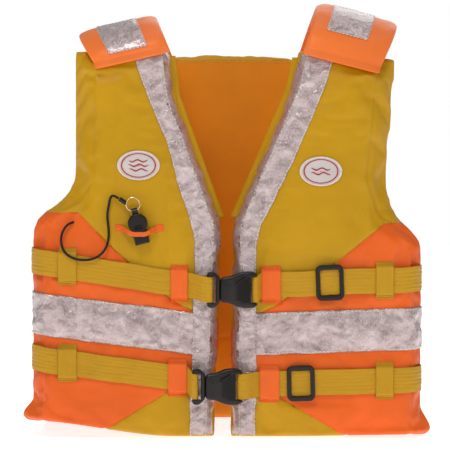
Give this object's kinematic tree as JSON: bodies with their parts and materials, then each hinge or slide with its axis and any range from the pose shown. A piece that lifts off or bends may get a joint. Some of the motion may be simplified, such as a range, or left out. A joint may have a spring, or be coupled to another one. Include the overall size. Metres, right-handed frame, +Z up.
{
  "type": "buoyancy vest",
  "caption": "Foam buoyancy vest with opening front panels, reflective tapes, two webbing belts with side-release buckles, strap adjusters and a whistle on a cord.",
  "frame": {"origin": "middle of the footprint, on the surface that the hem stands on", "axes": "+Z up, the chest side faces -Y, +X is the wearer's left"},
  "size_m": [0.4694, 0.2563, 0.5235],
  "materials": {
    "fabric_yellow": "smooth coated nylon",
    "fabric_orange": "smooth coated nylon",
    "shoulder_orange": "smooth coated nylon",
    "lining_amber": "smooth coated nylon",
    "foam_white": "closed-cell foam",
    "tape_silver": "glossy crinkled reflective film",
    "patch_white": "smooth",
    "webbing_yellow": "ribbed webbing",
    "keeper_orange": "ribbed webbing",
    "plastic_black": "glossy moulded",
    "ring_brass": "polished",
    "cord_black": "woven"
  },
  "bodies": {
    "back": {"back_foam": "foam_white", "back_lining": "lining_amber", "back_cover_upper": "fabric_yellow", "back_cover_lower": "fabric_orange", "band_back": "tape_silver", "belt_back_upper": "webbing_yellow", "belt_back_lower": "webbing_yellow", "belt_keepers_back": "keeper_orange", "gusset_right": "fabric_orange", "shoulder_right": "shoulder_orange", "shoulder_patch_right": "tape_silver", "band_side_right": "tape_silver", "belt_sides_right": "webbing_yellow", "gusset_left": "fabric_orange", "shoulder_left": "shoulder_orange", "shoulder_patch_left": "tape_silver", "band_side_left": "tape_silver", "belt_sides_left": "webbing_yellow"},
    "front_right": {"front_foam_right": "foam_white", "front_lining_right": "lining_amber", "cover_upper_right": "fabric_yellow", "cover_side_right": "fabric_orange", "cover_lower_right": "fabric_yellow", "edge_tape_right": "tape_silver", "band_front_right": "tape_silver", "oval_patch_right": "patch_white", "belt_upper_right": "webbing_yellow", "belt_lower_right": "webbing_yellow", "belt_tabs_right": "webbing_yellow", "belt_keepers_right": "keeper_orange", "strap_end_upper": "webbing_yellow", "strap_end_lower": "webbing_yellow", "whistle_band": "keeper_orange", "whistle_cord": "cord_black"},
    "front_left": {"front_foam_left": "foam_white", "front_lining_left": "lining_amber", "cover_upper_left": "fabric_yellow", "cover_side_left": "fabric_orange", "cover_lower_left": "fabric_yellow", "edge_tape_left": "tape_silver", "band_front_left": "tape_silver", "oval_patch_left": "patch_white", "belt_upper_left": "webbing_yellow", "belt_lower_left": "webbing_yellow", "belt_tabs_left": "webbing_yellow", "belt_keepers_left": "keeper_orange", "buckle_female_upper": "plastic_black", "buckle_female_lower": "plastic_black"},
    "male_upper": {"buckle_male_upper": "plastic_black"},
    "latch_top_upper": {"latch_arm_top_upper": "plastic_black"},
    "latch_bottom_upper": {"latch_arm_bottom_upper": "plastic_black"},
    "adjuster_upper": {"strap_adjuster_upper": "plastic_black"},
    "male_lower": {"buckle_male_lower": "plastic_black"},
    "latch_top_lower": {"latch_arm_top_lower": "plastic_black"},
    "latch_bottom_lower": {"latch_arm_bottom_lower": "plastic_black"},
    "adjuster_lower": {"strap_adjuster_lower": "plastic_black"},
    "whistle": {"whistle": "plastic_black", "split_ring": "ring_brass", "cord_crimp": "cord_black"}
  },
  "joints": [
    {"name": "open_right", "type": "hinge", "parent": "back", "child": "front_right", "pos_m": [-0.232, 0.094, 0], "axis": [-0.1822, 0.1498, -0.9718], "range_deg": [0, 75], "deforming": ["gusset_right", "shoulder_right", "shoulder_patch_right", "band_side_right", "belt_sides_right"]},
    {"name": "open_left", "type": "hinge", "parent": "back", "child": "front_left", "pos_m": [0.232, 0.094, 0], "axis": [-0.1706, -0.1422, 0.975], "range_deg": [0, 75], "deforming": ["gusset_left", "shoulder_left", "shoulder_patch_left", "band_side_left", "belt_sides_left"]},
    {"name": "release_upper", "type": "slide", "parent": "front_right", "child": "male_upper", "axis": [-1, 0, 0], "range_m": [0, 0.03], "deforming": ["strap_end_upper", "latch_arm_top_upper", "latch_arm_bottom_upper"]},
    {"name": "latch_top_upper", "type": "hinge", "parent": "male_upper", "child": "latch_top_upper", "pos_m": [-0.0075, -0.122, 0.1875], "axis": [0, 1, 0], "range_deg": [0, 7], "stiffness_Nm_per_rad": 0.5},
    {"name": "latch_bottom_upper", "type": "hinge", "parent": "male_upper", "child": "latch_bottom_upper", "pos_m": [-0.0075, -0.122, 0.1685], "axis": [0, -1, 0], "range_deg": [0, 7], "stiffness_Nm_per_rad": 0.5},
    {"name": "adjust_upper", "type": "slide", "parent": "front_left", "child": "adjuster_upper", "axis": [0.9993, 0, 0.0386], "range_m": [-0.02, 0.02]},
    {"name": "release_lower", "type": "slide", "parent": "front_right", "child": "male_lower", "axis": [-1, 0, 0], "range_m": [0, 0.03], "deforming": ["strap_end_lower", "latch_arm_top_lower", "latch_arm_bottom_lower"]},
    {"name": "latch_top_lower", "type": "hinge", "parent": "male_lower", "child": "latch_top_lower", "pos_m": [-0.025, -0.122, 0.0735], "axis": [0, 1, 0], "range_deg": [0, 7], "stiffness_Nm_per_rad": 0.5},
    {"name": "latch_bottom_lower", "type": "hinge", "parent": "male_lower", "child": "latch_bottom_lower", "pos_m": [-0.025, -0.122, 0.0545], "axis": [0, -1, 0], "range_deg": [0, 7], "stiffness_Nm_per_rad": 0.5},
    {"name": "adjust_lower", "type": "slide", "parent": "front_left", "child": "adjuster_lower", "axis": [0.9996, 0, 0.0276], "range_m": [-0.006, 0.03]},
    {"name": "whistle_pull", "type": "slide", "parent": "front_right", "child": "whistle", "axis": [-0.2419, 0, 0.9703], "range_m": [0, 0.025], "deforming": ["whistle_cord"]}
  ]
}
